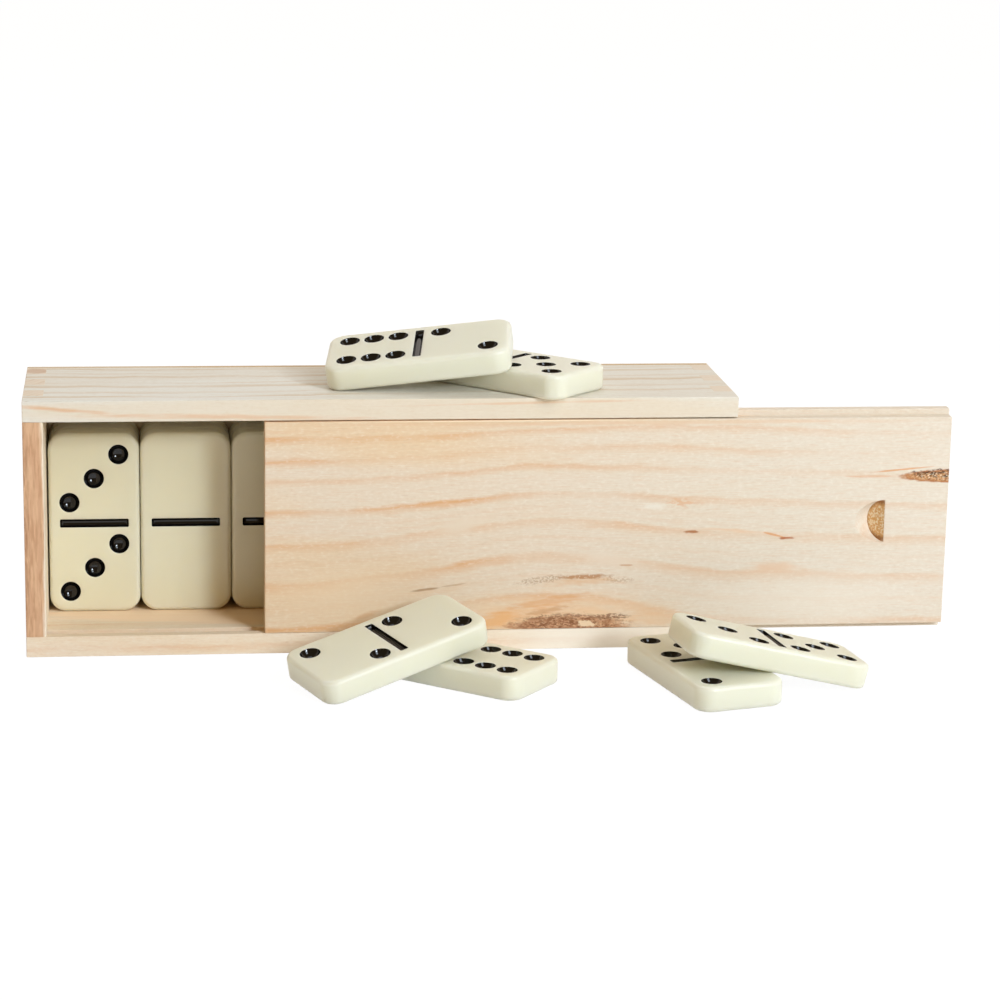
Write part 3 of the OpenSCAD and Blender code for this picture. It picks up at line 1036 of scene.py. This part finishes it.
def tile_pose(node):
    """Place, turn and size of a tile, read from its solid: Z out of its dished face and X
    towards the half with more pips."""
    mesh = frame["nodes"][node].data
    turn = tile_axes(mesh)
    points = [turn.transposed() @ v.co for v in mesh.vertices]
    low, high = (Vector([pick(p[i] for p in points) for i in range(3)]) for pick in (min, max))
    centre = (low + high) / 2
    size = (high - low) / MM
    # Area sunk below the faces: its height says which face is up, and its halves where the
    # pips are
    inset, below = IN_DISH
    sunk_height = 0.0
    sunk = [0.0, 0.0]
    for face in mesh.polygons:
        local = (turn.transposed() @ face.center - centre) / MM
        inside = abs(local.x) < size.x / 2 - inset and abs(local.y) < size.y / 2 - inset
        if inside and abs(local.z) < size.z / 2 - below:
            sunk_height += local.z * face.area
            if abs(local.x) > BAR[0]:
                sunk[local.x > 0] += face.area
    flip = Vector((1, 1, 1))
    if sunk_height < 0:
        flip = Vector((-1, 1, -1))
        sunk.reverse()
    if sunk[1] < sunk[0]:
        flip = Vector((-flip.x, -flip.y, flip.z))
    place = turn @ centre
    return Matrix.LocRotScale(place, turn @ Matrix.Diagonal(flip), None), tuple(size)


def build_tile(node, body, materials):
    """One tile: the blank with its dishes and bar cut, and their rims softened."""
    numbers = [int(part) for part in node.split("_")[1:]]
    pose, size = tile_pose(node)
    blank = mesh_from(blank_mesh(size), node, materials)
    tile = link(bpy.data.objects.new(node.replace("tile", "domino"), blank))
    dishes = mesh_from(cutter_mesh(numbers, size), node + "_cut", materials)
    cutter = link(bpy.data.objects.new(node + "_cutter", dishes))
    cut = tile.modifiers.new("dishes", "BOOLEAN")
    cut.object = cutter
    cut.solver = "EXACT"
    rim = tile.modifiers.new("rims", "BEVEL")
    rim.limit_method = "ANGLE"
    rim.angle_limit = RIM_SHARP
    rim.width = RIM_SOFTENING * MM
    rim.segments = RIM_STEPS
    shade = tile.modifiers.new("flat_faces", "WEIGHTED_NORMAL")
    shade.keep_sharp = True
    bpy.context.view_layer.update()
    finished = tile.evaluated_get(bpy.context.evaluated_depsgraph_get())
    made = bpy.data.meshes.new_from_object(finished)
    tile.modifiers.clear()
    tile.data = made
    bpy.data.objects.remove(cutter)
    tile.matrix_world = pose
    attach(tile, body)
    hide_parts(node)


def build_tiles():
    loose_ivory = ivory("Ivory_Urea_Tumbled", "#E6E6D3", "#E7E4CC")
    # The yellower copy is painted warm shade for the tiles in the box
    boxed_shade_ivory = ivory("Ivory_Urea_Painted_Warm_Shade", "#E9E4C8", "#EBE2C1")
    black = enamel()
    for body, nodes in frame["record"]["behaviour"]["bodies"].items():
        for node in nodes:
            if node.startswith("tile"):
                resin = loose_ivory if node in LOOSE_TILES else boxed_shade_ivory
                build_tile(node, body, [resin, black])


# ---- Studio ----


def seen_white(tree, lit, white_share):
    """Plain white to the camera, reflections and glass; the lit shader to everything else."""
    camera, glossy, through = (add(tree, "LightPath", out=i) for i in (0, 3, 6))
    seen = add(tree, "Math", {0: camera, 1: glossy}, operation="MAXIMUM")
    seen = add(tree, "Math", {0: seen, 1: through}, operation="MAXIMUM")
    share = add(tree, "Math", {0: seen, 1: white_share}, operation="MULTIPLY")
    white = add(tree, "Emission", {"Color": (1, 1, 1, 1), "Strength": FLOOR_WHITE})
    return add(tree, "MixShader", {0: share, 1: lit, 2: white})


def build_floor():
    """White seamless paper."""
    bm = bmesh.new()
    bmesh.ops.create_grid(bm, x_segments=2, y_segments=2, size=FLOOR_SIDE / 2 * MM)
    material, tree = new_material("White_Paper_Seamless")
    paper = add(tree, "BsdfDiffuse", {"Color": colour_of(FLOOR_PAPER)})
    add(tree, "OutputMaterial", {"Surface": seen_white(tree, paper, 1 - FLOOR_SHADOW)})
    floor = link(bpy.data.objects.new("floor", mesh_from(bm, "floor", [material])))
    floor.location.z = -FLOOR_DROP * MM


def build_room():
    """Room light from all round, and more from the tall white backdrop behind."""
    world = bpy.data.worlds.new("studio")
    world.use_nodes = True
    tree = world.node_tree
    tree.nodes.clear()
    bpy.context.scene.world = world
    direction = add(tree, "TexCoord")
    behind, above = (add(tree, "SeparateXYZ", {0: direction}, out=i) for i in (1, 2))
    paper, level = BACKDROP
    for way, (start, stop) in ((behind, BACKDROP_SIDE), (above, BACKDROP_TOP)):
        level = add(
            tree,
            "MapRange",
            {"Value": way, "From Min": start, "From Max": stop, "To Max": level},
            interpolation_type="SMOOTHSTEP",
        )
    backdrop = add(tree, "Background", {"Color": colour_of(paper), "Strength": level})
    paint, level = ROOM_WALLS
    walls = add(tree, "Background", {"Color": colour_of(paint), "Strength": level})
    room = add(tree, "AddShader", {0: walls, 1: backdrop})
    add(tree, "OutputWorld", {"Surface": room})


def build_lamp(name, lamp):
    data = bpy.data.lights.new(name, "AREA")
    data.shape = "RECTANGLE"
    data.size = lamp["size"] * MM
    data.size_y = lamp.get("tall", lamp["size"]) * MM
    data.energy = lamp["power"]
    data.color = colour_of(DAYLIGHT)[:3]
    holder = link(bpy.data.objects.new(name, data))
    holder.location = Vector(lamp["place"]) * MM
    holder.rotation_euler = (-holder.location).to_track_quat("-Z", "Y").to_euler()


def build_camera():
    data = bpy.data.cameras.new("camera")
    data.sensor_width = SENSOR
    data.lens = LENS
    camera = link(bpy.data.objects.new("camera", data))
    camera.location = Vector(CAMERA_PLACE) * MM
    camera.rotation_euler = [math.radians(a) for a in CAMERA_TURN]
    bpy.context.scene.camera = camera
    bpy.context.scene.view_settings.view_transform = "Standard"


build_camera()
build_floor()
build_room()
build_lamp("key_lamp", KEY_LAMP)
build_lamp("soft_lamp", SOFT_LAMP)
build_lamp("top_lamp", TOP_LAMP)
build_box()
build_lid()
build_tiles()
